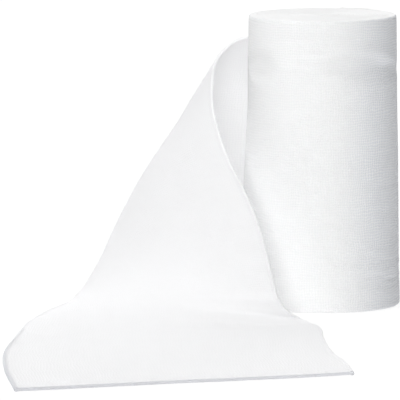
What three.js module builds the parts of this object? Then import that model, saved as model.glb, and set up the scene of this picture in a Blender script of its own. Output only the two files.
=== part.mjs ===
// A gauze bandage roll that stands on its end, with its free end swung round beside it and laid
// out on the surface in front. Millimetres, +Z up, the roll's axis on Z, the viewer's side at -Y.
import * as THREE from 'three';

const { lerp, degToRad, smoothstep } = THREE.MathUtils;

// The band: its width is the roll's height, and its raw edges stand a thread or two thick
const BAND_WIDTH = 100;
const SHEET_THICKNESS = 1.2;
const GAP = 0.45;

// The wound roll, a little wider at its foot
const BASE_RADIUS = 26.8;
const TOP_RADIUS = 25.3;
const RIM_ROUND = 0.8;

// Where the outermost turn ends on the roll's back, and where it lifts off, seen from above in
// degrees from +X: 90 is the back, 180 the flank beside the free end, 270 the viewer's side
const TURN_END = 75;
const STEP_LEAN = 2;
const SETTLE_ANGLE = 100;
const LIFT_OFF = 97;

// Height of the outermost turn's upper selvedge there: it has slid down on the turns within
const TURN_TOP = 92.5;

// Swells and furrows of the wound face: where round it, how high up, how far out, and how wide
const SWELL_COLUMNS = ['angle', 'height', 'rise', 'halfAngle', 'halfHeight'];
const SWELLS = [
  [185, 26, 0.7, 75, 50],
  [211, 83, -0.9, 24, 7],
  [318, 80, -0.9, 52, 5],
  [285, 92, -0.4, 70, 4],
  [320, 16, -0.3, 45, 2.5],
  [330, 9, -0.3, 40, 2.5],
];
const SWELL_CROWN = 0.35;

// The free end, a row for each section across the band. along: distance on the band from where it
// lifts off. foot and top: its two selvedges. belly: how far the cloth stands off the straight line
// between them at its fullest. peak: the share of the width, from the foot, at which that is.
const DRAPE_COLUMNS = [
  'along', 'footX', 'footY', 'topX', 'topY', 'topZ', 'bellyX', 'bellyY', 'bellyZ', 'peak',
];
const DRAPE = [
  [24, -26.4, 31.8, -23.5, 17.5, 91.2, -4, 5, 1.5, 0.5],
  [32, -34.3, 33.8, -30.1, 12, 89.6, -6.5, 5.4, 3.5, 0.5],
  [40, -42.3, 35, -35.4, 5, 85.2, -8.5, 5.4, 5.5, 0.5],
  [54, -56.3, 35.4, -37.8, -4, 75.8, -10, 5, 6.6, 0.5],
  [76, -77.5, 31, -35.7, -21.5, 62.5, -8.7, 4.5, 5, 0.5],
  [87, -82.6, 23, -32, -30, 53.2, -7.5, 4.2, 3.8, 0.5],
  [99, -84.7, 11.5, -27, -38, 44, -5.5, 4.2, 2.6, 0.5],
  [115, -87, -4, -21.4, -46, 30.7, -3, 4.5, 2.2, 0.5],
  [128, -91, -16.5, -18.1, -50, 18.3, -1.5, 4.5, 3, 0.5],
  [138, -94.2, -26, -15.5, -52, 9.5, -0.5, 4, 3.8, 0.5],
  [152, -97.3, -39.5, -7.2, -55, 1.4, 0.2, 2.5, 4.4, 0.42],
  [163, -99.3, -51, -3, -61, 0, 0.3, 1, 4, 0.34],
  [191, -103.3, -84, -1.1, -87, 0, 0, 0, 0.8, 0.3],
  [221, -106, -120, 1.3, -119.5, 0, 0, 0, 0, 0.4],
  [248, -104.5, -155, 5.2, -141, 0, 0, 0, 0, 0.5],
  [277, -100.2, -194, 7, -161, 0, 0, 0, 0, 0.5],
];
const MIDDLE = 0.5;

// How finely the faces are divided
const TURN_STEPS = 96;
const HEIGHT_STEPS = 40;
const RIM_STEPS = 2;
const HUG_ROWS = 3;
const ALONG_STEPS = 72;
const ACROSS_STEPS = 20;

function namedRows(columns, rows) {
  return rows.map((row) => Object.fromEntries(columns.map((name, i) => [name, row[i]])));
}

function closedMesh(name, positions, triangles, material) {
  const geometry = new THREE.BufferGeometry();
  geometry.setAttribute('position', new THREE.Float32BufferAttribute(positions, 3));
  geometry.setIndex(triangles);
  geometry.computeVertexNormals();
  const mesh = new THREE.Mesh(geometry, material);
  mesh.name = name;
  return mesh;
}

function gauze() {
  return new THREE.MeshStandardMaterial({ color: '#f3f2ee', roughness: 0.95, metalness: 0 });
}

// One where the distance is small, falling softly to nought at a distance of one
function hump(distance) {
  return 1 - smoothstep(Math.abs(distance), SWELL_CROWN, 1);
}

const swells = namedRows(SWELL_COLUMNS, SWELLS);

// Radius of the wound face. Just past the end of the outermost turn the face lies one layer
// further in, and over the settling angle it comes out to the full radius again.
function woundRadius(angle, height) {
  const past = angle - TURN_END;
  const layer = (SHEET_THICKNESS + GAP) * (1 - smoothstep(past, 0, SETTLE_ANGLE));
  let radius = lerp(BASE_RADIUS, TOP_RADIUS, height / BAND_WIDTH) - layer;
  for (const swell of swells) {
    const round = THREE.MathUtils.euclideanModulo(angle - swell.angle + 180, 360) - 180;
    const up = height - swell.height;
    radius += swell.rise * hump(Math.hypot(round / swell.halfAngle, up / swell.halfHeight));
  }
  return radius;
}

// How far the rounded rim draws in at a height near either end
function rimInset(height) {
  const depth = RIM_ROUND - Math.min(height, BAND_WIDTH - height);
  return depth > 0 ? RIM_ROUND - Math.sqrt(RIM_ROUND ** 2 - depth ** 2) : 0;
}

function ringHeights() {
  const rim = Array.from({ length: RIM_STEPS }, (_, i) => {
    return RIM_ROUND * (1 - Math.cos((Math.PI / 2) * (i / RIM_STEPS)));
  });
  const wall = Array.from({ length: HEIGHT_STEPS + 1 }, (_, i) => {
    return lerp(RIM_ROUND, BAND_WIDTH - RIM_ROUND, i / HEIGHT_STEPS);
  });
  return [...rim, ...wall, ...rim.map((height) => BAND_WIDTH - height).reverse()];
}

// The wound roll: rings of one turn each, from just past the step round to its crest
function roll() {
  const heights = ringHeights();
  const ring = TURN_STEPS + 1;
  const positions = [];
  for (const height of heights) {
    for (let i = 0; i < ring; i += 1) {
      const angle = TURN_END + (360 - STEP_LEAN) * (i / TURN_STEPS);
      const radius = woundRadius(angle, height) - rimInset(height);
      positions.push(radius * Math.cos(degToRad(angle)), radius * Math.sin(degToRad(angle)), height);
    }
  }
  const baseCentre = positions.length / 3;
  const topCentre = baseCentre + 1;
  positions.push(0, 0, 0, 0, 0, BAND_WIDTH);
  const topRing = (heights.length - 1) * ring;
  const triangles = [];
  for (let i = 0; i < ring; i += 1) {
    const next = (i + 1) % ring;
    for (let low = 0; low < topRing; low += ring) {
      const high = low + ring;
      triangles.push(low + i, low + next, high + next, low + i, high + next, high + i);
    }
    triangles.push(baseCentre, next, i, topCentre, topRing + i, topRing + next);
  }
  return closedMesh('roll', positions, triangles, gauze());
}

// Sections of the free end that still lie on the roll's back, a gap off the turn beneath
function hugRows() {
  const start = TURN_END + (GAP / BASE_RADIUS) * THREE.MathUtils.RAD2DEG;
  const still = { bellyX: 0, bellyY: 0, bellyZ: 0, peak: MIDDLE };
  return Array.from({ length: HUG_ROWS }, (_, i) => {
    const angle = lerp(start, LIFT_OFF, i / (HUG_ROWS - 1));
    const off = GAP + SHEET_THICKNESS / 2;
    const foot = woundRadius(angle, 0) + off;
    const top = woundRadius(angle, TURN_TOP) + off;
    const cos = Math.cos(degToRad(angle));
    const sin = Math.sin(degToRad(angle));
    return {
      along: degToRad(angle - LIFT_OFF) * BASE_RADIUS,
      footX: foot * cos,
      footY: foot * sin,
      topX: top * cos,
      topY: top * sin,
      topZ: TURN_TOP,
      ...still,
    };
  });
}

const sections = [...hugRows(), ...namedRows(DRAPE_COLUMNS, DRAPE)];

// Rise of one column from a section to the next, for each millimetre along the band
function rise(column, i) {
  return (sections[i + 1][column] - sections[i][column]) / (sections[i + 1].along - sections[i].along);
}

// Slope of one column at a section, from the rises on both sides of it
function slope(column, i) {
  if (i === 0) {
    return rise(column, 0);
  }
  if (i === sections.length - 1) {
    return rise(column, i - 1);
  }
  const back = sections[i].along - sections[i - 1].along;
  const ahead = sections[i + 1].along - sections[i].along;
  return (rise(column, i - 1) * ahead + rise(column, i) * back) / (back + ahead);
}

// One column of the table at any distance along the band, on a smooth curve through its rows
function columnAt(column, along) {
  const last = sections.length - 2;
  const found = sections.findIndex((section, i) => i <= last && along <= sections[i + 1].along);
  const i = found < 0 ? last : found;
  const span = sections[i + 1].along - sections[i].along;
  const f = (along - sections[i].along) / span;
  return (
    sections[i][column] * (1 + 2 * f) * (1 - f) ** 2 +
    slope(column, i) * span * f * (1 - f) ** 2 +
    sections[i + 1][column] * f ** 2 * (3 - 2 * f) +
    slope(column, i + 1) * span * f ** 2 * (f - 1)
  );
}

// A section's two selvedges, its belly and the belly's peak at a distance along the band
function sectionAt(along) {
  const at = (column) => columnAt(column, along);
  return {
    foot: new THREE.Vector3(at('footX'), at('footY'), 0),
    top: new THREE.Vector3(at('topX'), at('topY'), at('topZ')),
    belly: new THREE.Vector3(at('bellyX'), at('bellyY'), at('bellyZ')),
    peak: at('peak'),
  };
}

// Middle of the cloth at a share of its width, never lower than lying on the surface lets it be
function clothPoint(section, across) {
  const bow = Math.sin(Math.PI * across ** (Math.log(MIDDLE) / Math.log(section.peak)));
  const point = section.foot.clone().lerp(section.top, across).addScaledVector(section.belly, bow);
  point.z = Math.max(point.z, SHEET_THICKNESS / 2);
  return point;
}

// The free end: a sheet of even thickness about the sections' surface
function looseEnd() {
  const start = sections[0].along;
  const end = sections[sections.length - 1].along;
  const middle = Array.from({ length: ALONG_STEPS + 1 }, (_, i) => {
    const section = sectionAt(lerp(start, end, i / ALONG_STEPS));
    return Array.from({ length: ACROSS_STEPS + 1 }, (__, j) => clothPoint(section, j / ACROSS_STEPS));
  });
  const upper = [];
  const lower = [];
  middle.forEach((row, i) => {
    row.forEach((point, j) => {
      const ahead = middle[Math.min(i + 1, ALONG_STEPS)][j].clone().sub(middle[Math.max(i - 1, 0)][j]);
      const aside = row[Math.min(j + 1, ACROSS_STEPS)].clone().sub(row[Math.max(j - 1, 0)]);
      const half = ahead.cross(aside).setLength(SHEET_THICKNESS / 2);
      const over = point.clone().add(half);
      const under = point.clone().sub(half);
      const settle = j === 0 ? Math.min(over.z, under.z) : 0;
      upper.push(over.x, over.y, over.z - settle);
      lower.push(under.x, under.y, Math.max(under.z - settle, 0));
    });
  });
  const width = ACROSS_STEPS + 1;
  const count = (ALONG_STEPS + 1) * width;
  const triangles = [];
  for (let i = 0; i < ALONG_STEPS; i += 1) {
    for (let j = 0; j < ACROSS_STEPS; j += 1) {
      const a = i * width + j;
      const b = a + width;
      triangles.push(a, b, b + 1, a, b + 1, a + 1);
      triangles.push(count + a, count + b + 1, count + b, count + a, count + a + 1, count + b + 1);
    }
  }
  const rim = [
    ...Array.from({ length: ALONG_STEPS }, (_, i) => i * width),
    ...Array.from({ length: ACROSS_STEPS }, (_, j) => ALONG_STEPS * width + j),
    ...Array.from({ length: ALONG_STEPS }, (_, i) => (ALONG_STEPS - i) * width + ACROSS_STEPS),
    ...Array.from({ length: ACROSS_STEPS }, (_, j) => ACROSS_STEPS - j),
  ];
  rim.forEach((here, i) => {
    const next = rim[(i + 1) % rim.length];
    triangles.push(next, here, count + here, next, count + here, count + next);
  });
  return closedMesh('loose_end', [...upper, ...lower], triangles, gauze());
}

const bandage = new THREE.Group();
bandage.add(roll(), looseEnd());

export default bandage;
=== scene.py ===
import bpy
import numpy as np
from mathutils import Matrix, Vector


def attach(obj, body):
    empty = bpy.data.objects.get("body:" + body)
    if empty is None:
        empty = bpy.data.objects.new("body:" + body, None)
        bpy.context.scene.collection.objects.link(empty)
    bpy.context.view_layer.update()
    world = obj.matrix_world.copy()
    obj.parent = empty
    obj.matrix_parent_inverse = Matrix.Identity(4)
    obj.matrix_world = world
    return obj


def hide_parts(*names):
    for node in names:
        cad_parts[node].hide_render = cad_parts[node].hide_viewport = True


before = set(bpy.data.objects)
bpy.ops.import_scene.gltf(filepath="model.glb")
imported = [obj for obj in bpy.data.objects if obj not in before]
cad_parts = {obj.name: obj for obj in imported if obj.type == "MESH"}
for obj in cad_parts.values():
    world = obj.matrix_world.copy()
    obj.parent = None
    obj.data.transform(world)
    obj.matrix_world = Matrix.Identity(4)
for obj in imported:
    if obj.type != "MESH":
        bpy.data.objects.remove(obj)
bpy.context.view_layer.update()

MM = 0.001

# The band and the wound roll, in millimetres. The roll's height is the band's width, and the solid
# sheet lies a gap off it.
BAND_WIDTH = 100.0
SOLID_THICKNESS = 1.2
GAP = 0.45
BASE_RADIUS = 26.8
TOP_RADIUS = 25.3

# Where the outermost turn ends, how far its step leans, over what angle the layer under it comes
# back out and where the band lifts off, in degrees from +X seen from above, and the height of the
# band's upper selvedge there
TURN_END = 75.0
STEP_LEAN = 2.0
SETTLE_ANGLE = 100.0
LIFT_OFF = 97.0
TURN_TOP = 92.5

# Swells and furrows of the wound face: angle, height, rise, half angle, half height. The crown is
# the share of each that stays at full height.
SWELLS = (
    (185, 26, 0.7, 75, 50),
    (211, 83, -0.9, 24, 7),
    (318, 81.5, -0.9, 52, 5),
    (285, 92, -0.4, 70, 4),
    (300, 84.5, -1.0, 40, 5),
    (320, 16, -0.3, 45, 2.5),
    (330, 9, -0.3, 40, 2.5),
)
SWELL_CROWN = 0.35

# Patches of fine wrinkles that run round the roll: angle, height, depth, half angle, half height.
# A wrinkle's length in degrees, its pitch up the roll and its noise's seed follow, and how far from
# an end it is full, then the length, pitch, rise and seed of the broader slack under them.
WRINKLES = (
    (272, 88, 0.28, 75, 11),
    (322, 13, 0.24, 60, 12),
    (300, 45, 0.08, 90, 45),
)
WRINKLE_RUN = 24.0
WRINKLE_PITCH = 1.7
WRINKLE_SEED = 3
WRINKLE_CLEAR = 3.0
SLACK_RUN = 36.0
SLACK_PITCH = 14.0
SLACK_RISE = 0.12
SLACK_SEED = 4

# Painted shade where the light grazes the wound face, the weave's gaps painted greyer over an oval:
# angle, height, half angle, half height
GAP_SHADE_PATCH = (340, 50, 66, 130)

# The ends of the roll: turns drawn coarser than the real ones so that they show, around a pinhole.
# The groove lies between turns, and a low power makes their crests broad. Each turn's edge sags by a
# mean, and unevenly along two lengths of wave, each with its rise and seed. A quarter round of a few
# rows joins the ends to the wound face.
TURNS = 22
RINGS_PER_TURN = 5
CORE_RADIUS = 1.2
CORE_DEPTH = 2.0
TURN_GROOVE = 0.16
TURN_CREST_POWER = 0.6
TURN_SAG = 0.08
RAGGED_WAVES = ((9.0, 0.12, 5), (2.5, 0.1, 6))
RIM_HEIGHT = 1.0
RIM_INSET = 0.5
RIM_ROWS = 4

# The free end, a row for each section across the band: distance along it, the foot selvedge's
# X and Y, the top selvedge's X, Y and Z, the belly's X, Y and Z, and the belly's peak as a share
# of the width from the foot. The rows before it, which lie on the roll, are worked out, and the
# first of them is tucked into the step.
DRAPE = (
    (24, -26.4, 31.8, -23.5, 17.5, 91.2, -4, 5, 1.5, 0.5),
    (32, -34.3, 33.8, -30.1, 12, 89.6, -6.5, 5.4, 3.5, 0.5),
    (40, -42.3, 35, -35.4, 5, 85.2, -8.5, 5.4, 5.5, 0.5),
    (54, -56.3, 35.4, -37.8, -4, 75.8, -10, 5, 6.6, 0.5),
    (76, -77.5, 31, -35.7, -21.5, 62.5, -8.7, 4.5, 5, 0.5),
    (87, -82.6, 23, -32, -30, 53.2, -7.5, 4.2, 3.8, 0.5),
    (99, -84.7, 11.5, -27, -38, 44, -5.5, 4.2, 2.6, 0.5),
    (115, -87, -4, -21.4, -46, 30.7, -3, 4.5, 2.2, 0.5),
    (128, -91, -16.5, -18.1, -50, 18.3, -1.5, 4.5, 3, 0.5),
    (138, -94.2, -26, -15.5, -52, 9.5, -0.5, 4, 3.8, 0.5),
    (152, -97.3, -39.5, -7.2, -55, 1.4, 0.2, 2.5, 4.4, 0.42),
    (163, -99.3, -51, -3, -61, 0, 0.3, 1, 4, 0.34),
    (191, -103.3, -84, -1.1, -87, 0, 0, 0, 0.8, 0.3),
    (221, -106, -120, 1.3, -119.5, 0, 0, 0, 0, 0.4),
    (248, -104.5, -155, 5.2, -141, 0, 0, 0, 0, 0.5),
    (277, -100.2, -194, 7, -161, 0, 0, 0, 0, 0.5),
)
HUG_ROWS = 3
MIDDLE = 0.5
TUCK_ANGLE = 1.5

# The cloth's own thickness, rounded at its edges down to a least share of it, with a thicker woven
# bead along each selvedge, and where the mesh's lines lie there, from the edge inwards
CLOTH_THICKNESS = 0.9
EDGE_ROUND = 0.5
EDGE_LEAST = 0.25
BEAD = 0.35
BEAD_WIDTH = 0.9
EDGE_STEPS = (0.0, 0.15, 0.35, 0.65, 1.0, 1.4, 1.9)

# Soft creases of the free end, each a straight trough or ridge on the flat band: where it starts
# and ends, as distance along and across the band, then its rise and half its width. Below them are
# the unevenness of the hanging cloth, of the cloth where it lies and of the cut: length, rise, seed
# and the distance over which it fades.
CREASES = (
    (175, 45, 163, 135, -0.8, 7),
    (150, 55, 140, 120, 0.9, 8),
)
LOOSE_RUN = 21.0
LOOSE_RISE = 0.35
LOOSE_SEED = 8
LOOSE_FADE = 30.0
LYING_RUN = 26.0
LYING_RISE = 0.5
LYING_SEED = 9
LYING_DEPTH = 4.0
CUT_WAVE = 7.0
CUT_UNEVEN = 0.35
CUT_FADE = 8.0
CUT_SEED = 11

# Width of the shaded edge along the cut and along the foot selvedge, and how far along the band the
# second one begins and is full
CUT_SHADE = 1.5
FOOT_SHADE = 1.6
FOOT_SHADE_FROM = 60.0
FOOT_SHADE_FULL = 260.0

# How finely the faces are divided
TURN_STEPS = 168
HEIGHT_STEPS = 240
ALONG_STEPS = 300
ACROSS_STEPS = 84

# The weave: threads lie this far apart, in millimetres
THREAD_PITCH = 0.9


def smoothstep(x, low, high):
    """Nought below low, one above high, and an even S-curve between."""
    f = np.clip((x - low) / (high - low), 0, 1)
    return f * f * (3 - 2 * f)


def hump(distance):
    """One near nought, falling softly to nought at a distance of one."""
    return 1 - smoothstep(np.abs(distance), SWELL_CROWN, 1)


def soft_noise(x, y, seed, wrap=64):
    """Random heights on a square lattice, joined by S-curves: about -1 to 1, same each time. It
    repeats after wrap steps of x."""
    table = np.random.RandomState(seed).uniform(-1, 1, (wrap, wrap))
    xi, yi = np.floor(x).astype(int), np.floor(y).astype(int)
    fx, fy = smoothstep(x - xi, 0, 1), smoothstep(y - yi, 0, 1)
    a, b = table[xi % wrap, yi % wrap], table[(xi + 1) % wrap, yi % wrap]
    c, d = table[xi % wrap, (yi + 1) % wrap], table[(xi + 1) % wrap, (yi + 1) % wrap]
    return (a * (1 - fx) + b * fx) * (1 - fy) + (c * (1 - fx) + d * fx) * fy


def patch(angle, height, at_angle, at_height, half_angle, half_height):
    """A hump over an oval on the wound face."""
    round_it = (angle - at_angle + 180) % 360 - 180
    return hump(np.hypot(round_it / half_angle, (height - at_height) / half_height))


def wound_radius(angle, height):
    """Taper from base to top, less one layer just past the turn's end that comes back over the
    settling angle, plus every swell: its rise times an oval hump."""
    layer = (SOLID_THICKNESS + GAP) * (1 - smoothstep(angle - TURN_END, 0, SETTLE_ANGLE))
    radius = BASE_RADIUS + (TOP_RADIUS - BASE_RADIUS) * height / BAND_WIDTH - layer
    for at_angle, at_height, rise, half_angle, half_height in SWELLS:
        radius = radius + rise * patch(angle, height, at_angle, at_height, half_angle, half_height)
    return radius


def wrinkled(angle, height):
    """How far the wound face stands off its plain radius: broad slack, and patches of fine wrinkles,
    which are noise drawn out round the roll. Both die away at the turn's end."""
    clear = hump(((angle - TURN_END) % 360 - 180) / 180)
    slack_and_gap_shade = SLACK_RISE * soft_noise(angle / SLACK_RUN, height / SLACK_PITCH, SLACK_SEED)
    fine = soft_noise(angle / WRINKLE_RUN, height / WRINKLE_PITCH, WRINKLE_SEED)
    for at_angle, at_height, depth, half_angle, half_height in WRINKLES:
        slack_and_gap_shade = slack_and_gap_shade + depth * fine * patch(angle, height, at_angle, at_height, half_angle, half_height)
    return slack_and_gap_shade * clear


def grid_faces(index):
    """Quads between neighbouring rows and columns of an index grid, turned the way it is given."""
    corners = (index[:-1, :-1], index[:-1, 1:], index[1:, 1:], index[1:, :-1])
    return np.stack(corners, axis=-1).reshape(-1, 4)


def grid_corners(uv):
    """The UV of each quad corner, in the same order as grid_faces."""
    corners = (uv[:-1, :-1], uv[:-1, 1:], uv[1:, 1:], uv[1:, :-1])
    return np.stack(corners, axis=2).reshape(-1, 4, 2)


def make_piece(name, points, faces, corner_uv, material, edge=0.0, slack_and_gap_shade=0.0):
    """A smooth mesh object from points in millimetres, faces, a UV in millimetres of thread, and for
    each point how near it lies to an edge with painted shade and how much painted shade greys its
    weave's gaps."""
    mesh = bpy.data.meshes.new(name)
    mesh.from_pydata((points * MM).tolist(), [], faces)
    layer = mesh.uv_layers.new(name="thread_mm")
    layer.data.foreach_set("uv", corner_uv.astype(np.float32).ravel())
    for label, share in (("shaded_edge", edge), ("gap_shade", slack_and_gap_shade)):
        attribute = mesh.attributes.new(label, "FLOAT", "POINT")
        attribute.data.foreach_set("value", np.broadcast_to(share, len(points)).astype(np.float32))
    mesh.polygons.foreach_set("use_smooth", np.ones(len(mesh.polygons), bool))
    mesh.materials.append(material)
    piece = bpy.data.objects.new(name, mesh)
    bpy.context.collection.objects.link(piece)
    return piece


def polar(radius, angle, height):
    """Points at a radius and an angle in degrees round the roll's axis."""
    x = radius * np.cos(np.radians(angle))
    y = radius * np.sin(np.radians(angle))
    return np.stack(np.broadcast_arrays(x, y, height), axis=-1)


def spiral_radius(turn):
    """Even turns from the pinhole out to the last but one, then the wound face's own top edge."""
    last = np.clip(turn - TURNS, 0, 1)
    edge = wound_radius(TURN_END + 360 * last, BAND_WIDTH) - RIM_INSET
    inner = CORE_RADIUS + (wound_radius(TURN_END, BAND_WIDTH) - RIM_INSET - CORE_RADIUS) * turn / TURNS
    return np.where(turn > TURNS, edge, inner)


def wound_roll(material):
    """The wall is the wound radius at each angle and height, with quarter-round rims. Each end is a
    spiral grid: a ring's far end meets the ring one turn further out, the grooves between turns are a
    power of a sine across each turn, and the crests stand unevenly along the spiral. Over one oval patch
    of the wall, where the light grazes it, the weave's gaps take a greyer painted shade."""
    past = np.linspace(0, 360 - STEP_LEAN, TURN_STEPS)
    angle = TURN_END + past
    f = np.linspace(0, 1, RIM_ROWS, endpoint=False)
    inset = RIM_INSET * (1 - np.sin(f * np.pi / 2))
    drop = TURN_GROOVE + (RIM_HEIGHT - TURN_GROOVE) * (1 - np.cos(f * np.pi / 2))
    wall = np.linspace(RIM_HEIGHT, BAND_WIDTH - RIM_HEIGHT, HEIGHT_STEPS)
    height = np.concatenate([drop, wall, BAND_WIDTH - drop[::-1]])
    inset = np.concatenate([inset, np.zeros(HEIGHT_STEPS), inset[::-1]])
    off_rim = smoothstep(np.minimum(height, BAND_WIDTH - height), RIM_HEIGHT, WRINKLE_CLEAR)
    radius = wound_radius(angle[None], height[:, None]) - inset[:, None]
    radius = radius + wrinkled(angle[None], height[:, None]) * off_rim[:, None]
    rows, columns = radius.shape
    points = [polar(radius, angle[None], height[:, None]).reshape(-1, 3)]
    index = np.arange(rows * columns).reshape(rows, columns)
    closed = np.concatenate([index, index[:, :1]], axis=1)
    run = np.radians(np.append(past, 360)) * BASE_RADIUS
    uv = np.stack(np.broadcast_arrays(run[None], height[:, None]), axis=-1)
    faces = [grid_faces(closed)]
    corners = [grid_corners(uv)]

    rings = TURNS * RINGS_PER_TURN
    step = np.arange(rings + 1)[:, None]
    turn = step / RINGS_PER_TURN + np.append(past, 360)[None] / 360
    phase = step % RINGS_PER_TURN / RINGS_PER_TURN + 0 * turn
    path = np.pi * turn * (2 * CORE_RADIUS + (TOP_RADIUS - CORE_RADIUS) * turn / TURNS)
    crest = np.sin(np.pi * phase) ** TURN_CREST_POWER
    sag = TURN_SAG + 0 * turn
    for wave, rise, seed in RAGGED_WAVES:
        sag = sag + rise * soft_noise(path / wave, step // RINGS_PER_TURN, seed)
    relief = TURN_GROOVE * (1 - crest) + np.clip(sag, 0, None) * crest
    # Painted shade between the turns: every corner of the ends takes the same place in the weave, a
    # gap's, so the ends show one even tone mixed from the gaps' painted shade
    end_uv = np.full((*path.shape, 2), THREAD_PITCH / 2)
    for at_top in (False, True):
        level = BAND_WIDTH - relief if at_top else relief
        spiral = polar(spiral_radius(turn), TURN_END + np.append(past, 360)[None], level)
        spiral[..., :2] *= 1 if at_top else (BASE_RADIUS - RIM_INSET) / (TOP_RADIUS - RIM_INSET)
        start = sum(len(block) for block in points)
        points.append(spiral[:-1, :-1].reshape(-1, 3))
        rim = index[-1] if at_top else index[0]
        spiral_index = np.vstack([start + np.arange(rings * columns).reshape(rings, columns), rim])
        last = rings - RINGS_PER_TURN
        seam = spiral_index[RINGS_PER_TURN:, :1]
        flip = slice(None, None, -1) if at_top else slice(None)
        for ring_index, ring_uv in (
            (np.hstack([spiral_index[: last + 1], seam]), end_uv[: last + 1]),
            (spiral_index[last:], end_uv[last:, :-1]),
        ):
            faces.append(grid_faces(ring_index)[:, flip])
            corners.append(grid_corners(ring_uv)[:, flip])
        centre = sum(len(block) for block in points)
        points.append(np.array([[0.0, 0.0, BAND_WIDTH - CORE_DEPTH if at_top else CORE_DEPTH]]))
        hole = np.concatenate([spiral_index[0], spiral_index[RINGS_PER_TURN::-1, 0][:-1]])
        fan = np.stack([np.full(len(hole), centre), np.roll(hole, -1), hole], axis=1)
        end = spiral_index[last:, -1]
        lip = np.stack([np.full(len(end) - 1, rim[0]), end[1:], end[:-1]], axis=1)
        for triangles in (fan[:, flip], lip[:, flip]):
            faces.append(triangles)
            corners.append(np.zeros((*triangles.shape, 2)))
    flat_faces = [face for block in faces for face in block.tolist()]
    flat_uv = np.concatenate([block.reshape(-1, 2) for block in corners])
    points = np.concatenate(points)
    # Painted shade: how much the gaps are greyed over the grazed patch of the wall
    slack_and_gap_shade = np.zeros(len(points))
    slack_and_gap_shade[: rows * columns] = patch(angle[None], height[:, None], *GAP_SHADE_PATCH).ravel()
    return make_piece("wound_roll", points, flat_faces, flat_uv, material, slack_and_gap_shade=slack_and_gap_shade)


def drape_rows():
    """The sections that still lie on the roll's back, the first tucked into the step at the turn's
    end, then those of the free end."""
    angle = np.linspace(TURN_END, LIFT_OFF, HUG_ROWS)
    off = GAP + SOLID_THICKNESS / 2
    foot = polar(wound_radius(angle, 0) + off, angle - TUCK_ANGLE * (angle == TURN_END), 0.0)
    top = polar(wound_radius(angle, TURN_TOP) + off, angle - TUCK_ANGLE * (angle == TURN_END), TURN_TOP)
    along = np.radians(angle - LIFT_OFF) * BASE_RADIUS
    still = np.zeros((HUG_ROWS, 3))
    hug = np.column_stack([along, foot[:, :2], top, still, np.full(HUG_ROWS, MIDDLE)])
    return np.vstack([hug, np.array(DRAPE, float)])


def through_rows(rows, along):
    """A smooth curve through every column: cubics whose slope at a row is the mean of the rises on
    both sides, each weighted by the other side's length."""
    at, value = rows[:, 0], rows[:, 1:]
    span = np.diff(at)[:, None]
    rise = np.diff(value, axis=0) / span
    slope = np.empty_like(value)
    slope[0], slope[-1] = rise[0], rise[-1]
    slope[1:-1] = (rise[:-1] * span[1:] + rise[1:] * span[:-1]) / (span[1:] + span[:-1])
    i = np.clip(np.searchsorted(at, along, side="right") - 1, 0, len(at) - 2)
    f = ((along - at[i]) / span[i, 0])[:, None]
    return (
        value[i] * (1 + 2 * f) * (1 - f) ** 2
        + slope[i] * span[i] * f * (1 - f) ** 2
        + value[i + 1] * f**2 * (3 - 2 * f)
        + slope[i + 1] * span[i] * f**2 * (f - 1)
    )


def surface_normal(points):
    """Unit normal of a grid of points, from the run along it crossed with the run across it."""
    normal = np.cross(np.gradient(points, axis=0), np.gradient(points, axis=1))
    return normal / np.linalg.norm(normal, axis=-1, keepdims=True)


def creased(along, across):
    """How far the cloth stands off its plain drape: each crease is its rise times a hump of the
    distance from its line on the flat band, dying away to the line's ends as half a sine does, and
    soft noise makes the free part uneven."""
    place = np.stack(np.broadcast_arrays(along, across), axis=-1)
    offset = LOOSE_RISE * soft_noise(along / LOOSE_RUN, across / LOOSE_RUN, LOOSE_SEED)
    offset = offset * smoothstep(along, 0, LOOSE_FADE)
    for from_along, from_across, to_along, to_across, rise, half_width in CREASES:
        start = np.array((from_along, from_across), float)
        line = np.array((to_along, to_across)) - start
        share = np.clip((place - start) @ line / (line @ line), 0, 1)
        away = np.linalg.norm(place - start - share[..., None] * line, axis=-1)
        offset = offset + rise * np.sin(np.pi * share) * hump(away / half_width)
    return offset


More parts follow.
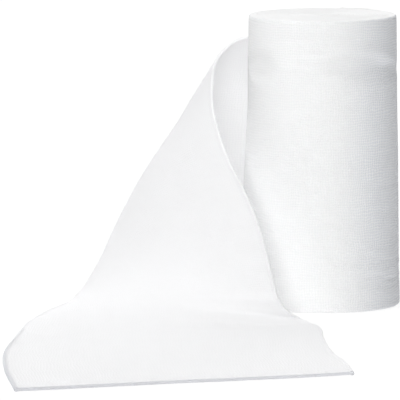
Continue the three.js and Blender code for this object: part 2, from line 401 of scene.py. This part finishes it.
def loose_end(material):
    """The cloth's middle is the straight line between its two selvedges plus the belly times a sine
    that peaks at its share of the width, then the creases along the normal, never below the surface
    it lies on, where it stays slightly rippled. Two faces stand half a thickness off it, rounded at
    the selvedges and thicker in their beads, and a rim closes them. The shade is full at the cut end
    and fades over its width, and so it does along the foot selvedge, more so where the cloth lies."""
    rows = drape_rows()
    along = np.linspace(rows[0, 0], rows[-1, 0], ALONG_STEPS + 1)
    edge = np.array(EDGE_STEPS)
    inner = np.linspace(edge[-1], BAND_WIDTH - edge[-1], ACROSS_STEPS)[1:-1]
    across = np.concatenate([edge, inner, BAND_WIDTH - edge[::-1]])
    share = across / BAND_WIDTH
    at = through_rows(rows, along)
    foot = np.column_stack([at[:, :2], np.zeros(len(along))])
    top, belly, peak = at[:, 2:5], at[:, 5:8], at[:, 8:9]
    bow = np.sin(np.pi * share[None] ** (np.log(MIDDLE) / np.log(peak)))
    middle = foot[:, None] + (top - foot)[:, None] * share[:, None] + belly[:, None] * bow[..., None]
    lying = hump(middle[..., 2] / LYING_DEPTH)
    middle = middle + surface_normal(middle) * creased(along[:, None], across[None])[..., None]
    ripple = soft_noise(along[:, None] / LYING_RUN, across[None] / LYING_RUN, LYING_SEED)
    ripple = (1 + ripple) / 2
    middle[..., 2] = np.maximum(middle[..., 2], CLOTH_THICKNESS / 2) + LYING_RISE * lying * ripple
    frayed = CUT_UNEVEN * soft_noise(across / CUT_WAVE, 0 * across, CUT_SEED)
    fade = smoothstep(along, along[-1] - CUT_FADE, along[-1])
    ahead = np.gradient(middle, along, axis=0)
    middle = middle + ahead * (fade[:, None] * frayed[None])[..., None]

    inward = np.minimum(across, BAND_WIDTH - across)
    rounded = np.sqrt(1 - np.clip(1 - inward / EDGE_ROUND, 0, 1) ** 2)
    half = (CLOTH_THICKNESS + BEAD * hump((inward - BEAD_WIDTH / 2) / BEAD_WIDTH)) / 2
    half = half * np.maximum(rounded, EDGE_LEAST)
    normal = surface_normal(middle) * half[None, :, None]
    faces_points = np.stack([middle + normal, middle - normal])
    faces_points[..., 2] -= np.minimum(faces_points[..., 2].min(axis=0), 0)
    count = middle[..., 0].size
    index = np.arange(count).reshape(middle.shape[:2])
    sides = middle[:, (0, -1)]
    length = np.linalg.norm(np.diff(sides, axis=0), axis=-1).cumsum(axis=0)
    length = np.vstack([np.zeros((1, 2)), length])
    run = length[:, :1] + (length[:, 1:] - length[:, :1]) * share[None]
    uv = np.stack(np.broadcast_arrays(run, across[None]), axis=-1)
    border = np.concatenate([index[:-1, 0], index[-1, :-1], index[:0:-1, -1], index[0, :0:-1]])
    after = np.roll(border, -1)
    rim = np.stack([after, border, border + count, after + count], axis=1)
    faces = np.concatenate([grid_faces(index)[:, ::-1], grid_faces(index) + count, rim])
    rim_uv = uv.reshape(-1, 2)[rim % count]
    corner_uv = np.concatenate([grid_corners(uv)[:, ::-1], grid_corners(uv), rim_uv])
    # Painted shade: an edge grey, full at the cut and growing along the foot selvedge toward it, fading
    # inwards over these widths
    cut_shade = 1 - smoothstep(along[-1] - along, 0, CUT_SHADE)
    foot_shade = 1 - smoothstep(across, 0, FOOT_SHADE)
    lies = smoothstep(along, FOOT_SHADE_FROM, FOOT_SHADE_FULL)
    shade = np.tile(np.maximum(cut_shade[:, None], lies[:, None] * foot_shade).ravel(), 2)
    faces = faces.tolist()
    return make_piece("loose_end_cloth", faces_points.reshape(-1, 3), faces, corner_uv, material, shade)


def linear(hex_colour):
    """An sRGB hex colour as linear RGBA, by that standard's own numbers: a straight line for the
    darkest shades and a power above them."""
    c = np.array([int(hex_colour[i : i + 2], 16) for i in (1, 3, 5)]) / 255
    c = np.where(c <= 0.04045, c / 12.92, ((c + 0.055) / 1.055) ** 2.4)
    return (*c.tolist(), 1.0)


def add_node(tree, kind, settings=(), links=()):
    """One shader node with its settings, and its inputs linked from other nodes' outputs."""
    node = tree.nodes.new(kind)
    for name, value in dict(settings).items():
        if isinstance(name, int) or name in node.inputs:
            node.inputs[name].default_value = value
        else:
            setattr(node, name, value)
    for name, source in dict(links).items():
        tree.links.new(source, node.inputs[name])
    return node


# The weave's look: how far threads wander from straight, over what length and how unevenly, how high
# they stand at a crossing and how much of that changes as each dives under the other, how high the whole
# weave stands, and the greys of the painted shade along an edge and of the painted shade in the weave's
# gaps where the light grazes the roll. Soft-spun cotton is rough and hardly shines.
WANDER = 2.4
WANDER_LENGTH = 6.0
WANDER_DETAIL = 2.0
DIVE_MEAN = 0.6
DIVE = 0.4
WEAVE_RELIEF = 0.22
EDGE_COLOUR = "#e3e4e7"
# Painted shade: the gaps' grey over the grazed patch of the roll
GAP_SHADE_COLOUR = "#d7dae1"
COTTON_ROUGHNESS = 0.95
COTTON_SHINE = 0.05

# The wound and the single layer: colours of the gaps, which are painted shade between the threads, and
# of the threads, how strong the weave's relief shows, and the share of light that comes through
WOUND_LOOK = ("#e9eaeb", "#f0f0f0", 0.65, 0.0)
SINGLE_LOOK = ("#f9f9fa", "#fdfdfd", 0.5, 0.49)


def bleached_cotton_gauze(name, gap_colour, thread_colour, relief_strength, through):
    """Bleached cotton gauze, an open plain weave of soft-spun thread, matt and near white. A thread's
    ridge is a cosine squared across it, and the product of both cosines lifts one thread and lowers the
    other where they cross. The higher one gives the weave's height, which makes the relief and mixes the
    gaps' colour, a painted shade between the threads, with the threads'. Over one patch the gaps get a
    greyer painted shade still, and the painted shade at an edge has its own grey. Where the cloth is a
    single layer, a share of the light that falls on one side comes out on the other."""
    material = bpy.data.materials.new(name)
    material.use_nodes = True
    tree = material.node_tree
    shader = tree.nodes["Principled BSDF"]
    shader.inputs["Roughness"].default_value = COTTON_ROUGHNESS
    shader.inputs["Specular IOR Level"].default_value = COTTON_SHINE

    thread = add_node(tree, "ShaderNodeUVMap", {"uv_map": "thread_mm"}).outputs["UV"]
    wander = add_node(
        tree,
        "ShaderNodeTexNoise",
        {"Scale": 1 / WANDER_LENGTH, "Detail": WANDER_DETAIL},
        {"Vector": thread},
    )
    moved = add_node(
        tree,
        "ShaderNodeVectorMath",
        {"operation": "MULTIPLY_ADD", 1: (WANDER, WANDER, 0.0)},
        {0: wander.outputs["Color"], 2: thread},
    )
    axes = add_node(tree, "ShaderNodeSeparateXYZ", {}, {"Vector": moved.outputs["Vector"]})
    per_thread = np.pi / THREAD_PITCH
    value = {"u": axes.outputs["X"], "v": axes.outputs["Y"]}
    for result, operation, first, second in (
        ("u_turn", "MULTIPLY", "u", per_thread),
        ("v_turn", "MULTIPLY", "v", per_thread),
        ("weft", "COSINE", "u_turn", 0.0),
        ("warp", "COSINE", "v_turn", 0.0),
        ("weft_ridge", "MULTIPLY", "weft", "weft"),
        ("warp_ridge", "MULTIPLY", "warp", "warp"),
        ("crossing", "MULTIPLY", "weft", "warp"),
        ("dive", "MULTIPLY", "crossing", DIVE),
        ("warp_over", "ADD", "dive", DIVE_MEAN),
        ("weft_over", "SUBTRACT", DIVE_MEAN, "dive"),
        ("warp_height", "MULTIPLY", "warp_ridge", "warp_over"),
        ("weft_height", "MULTIPLY", "weft_ridge", "weft_over"),
        ("height", "MAXIMUM", "warp_height", "weft_height"),
    ):
        settings = {"operation": operation}
        links = {}
        for socket, term in enumerate((first, second)):
            if isinstance(term, str):
                links[socket] = value[term]
            else:
                settings[socket] = term
        value[result] = add_node(tree, "ShaderNodeMath", settings, links).outputs[0]
    # Painted shade: greyer gaps where the light grazes the roll
    slack_and_gap_shade = add_node(tree, "ShaderNodeAttribute", {"attribute_name": "gap_shade"})
    gap = add_node(
        tree,
        "ShaderNodeMix",
        {"data_type": "RGBA", 6: linear(gap_colour), 7: linear(GAP_SHADE_COLOUR)},
        {"Factor": slack_and_gap_shade.outputs["Fac"]},
    )
    colour = add_node(
        tree,
        "ShaderNodeMix",
        {"data_type": "RGBA", 7: linear(thread_colour)},
        {"Factor": value["height"], 6: gap.outputs["Result"]},
    )
    relief = add_node(
        tree,
        "ShaderNodeBump",
        {"Strength": relief_strength, "Distance": WEAVE_RELIEF * MM},
        {"Height": value["height"]},
    )
    # Painted shade along the cloth's edges
    edge = add_node(tree, "ShaderNodeAttribute", {"attribute_name": "shaded_edge"})
    shaded = add_node(
        tree,
        "ShaderNodeMix",
        {"data_type": "RGBA", 7: linear(EDGE_COLOUR)},
        {"Factor": edge.outputs["Fac"], 6: colour.outputs["Result"]},
    )
    tree.links.new(shaded.outputs["Result"], shader.inputs["Base Color"])
    tree.links.new(relief.outputs["Normal"], shader.inputs["Normal"])
    if through:
        behind = add_node(tree, "ShaderNodeBsdfTranslucent", {}, {"Color": shaded.outputs["Result"]})
        both = add_node(
            tree,
            "ShaderNodeMixShader",
            {"Fac": through},
            {1: shader.outputs["BSDF"], 2: behind.outputs["BSDF"]},
        )
        tree.links.new(both.outputs["Shader"], tree.nodes["Material Output"].inputs["Surface"])
    return material


# The studio's lamps: strength, spread in degrees, how far round from the viewer's side each one
# stands, right being positive, and how high, both in degrees
LAMPS = (
    ("front", 1.05, 20, -5, 10),
    ("key", 0.78, 40, -24, 45),
    ("left", 0.26, 60, -80, 22),
    ("top", 1.42, 40, -50, 75),
    ("top_back", 0.75, 40, 170, 60),
    ("back_right", 1.0, 30, 165, 10),
    ("back_left", 1.0, 30, 200, 10),
)
SKY_STRENGTH = 0.03

# The table's own light and the grey under it, half its side and its level just below the cloth, in
# metres
TABLE_GLOW = 0.83
TABLE_GREY = 0.2
TABLE_HALF = 6.0
TABLE_LEVEL = -0.0002

# The camera: sensor and lens in millimetres, then its place, the point it looks at and how far it
# sees, in metres
CAMERA_SENSOR = 36.0
CAMERA_LENS = 526.7
CAMERA_PLACE = (-0.0421, -2.0, 0.291)
CAMERA_AIM = (-0.0421, 0.0, 0.0357)
CAMERA_REACH = 50.0


def studio():
    """A white table that glows, with broad lamps from the front, the viewer's left, above and behind,
    where two low ones shine through the single cloth, and a camera at the photograph's angle."""
    scene = bpy.context.scene
    scene.view_settings.view_transform = "Standard"
    world = bpy.data.worlds.new("even_studio_light")
    world.use_nodes = True
    background = world.node_tree.nodes["Background"]
    background.inputs["Color"].default_value = (1.0, 1.0, 1.0, 1.0)
    background.inputs["Strength"].default_value = SKY_STRENGTH
    scene.world = world
    for name, strength, spread, aside, up in LAMPS:
        lamp = bpy.data.objects.new(name, bpy.data.lights.new(name, "SUN"))
        lamp.data.energy = strength
        lamp.data.angle = np.radians(spread)
        lamp.rotation_euler = (np.radians(90 - up), 0, np.radians(aside))
        bpy.context.collection.objects.link(lamp)

    mesh = bpy.data.meshes.new("table")
    corners = TABLE_HALF * np.array([(-1, -1, 0), (1, -1, 0), (1, 1, 0), (-1, 1, 0)])
    mesh.from_pydata((corners + (0, 0, TABLE_LEVEL)).tolist(), [], [(0, 1, 2, 3)])
    table = bpy.data.objects.new("table", mesh)
    bpy.context.collection.objects.link(table)
    white = bpy.data.materials.new("white_table")
    white.use_nodes = True
    shader = white.node_tree.nodes["Principled BSDF"]
    shader.inputs["Base Color"].default_value = (TABLE_GREY, TABLE_GREY, TABLE_GREY, 1)
    shader.inputs["Roughness"].default_value = 1.0
    shader.inputs["Specular IOR Level"].default_value = 0.0
    shader.inputs["Emission Color"].default_value = (1, 1, 1, 1)
    shader.inputs["Emission Strength"].default_value = TABLE_GLOW
    mesh.materials.append(white)

    camera = bpy.data.objects.new("camera", bpy.data.cameras.new("camera"))
    camera.data.sensor_width = CAMERA_SENSOR
    camera.data.lens = CAMERA_LENS
    camera.data.clip_end = CAMERA_REACH
    camera.location = CAMERA_PLACE
    camera.rotation_euler = (Vector(CAMERA_AIM) - camera.location).to_track_quat("-Z", "Y").to_euler()
    bpy.context.collection.objects.link(camera)
    scene.camera = camera


roll = wound_roll(bleached_cotton_gauze("wound_cotton_gauze", *WOUND_LOOK))
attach(roll, "root")
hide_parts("roll")
sheet = loose_end(bleached_cotton_gauze("single_cotton_gauze", *SINGLE_LOOK))
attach(sheet, "root")
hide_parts("loose_end")
studio()
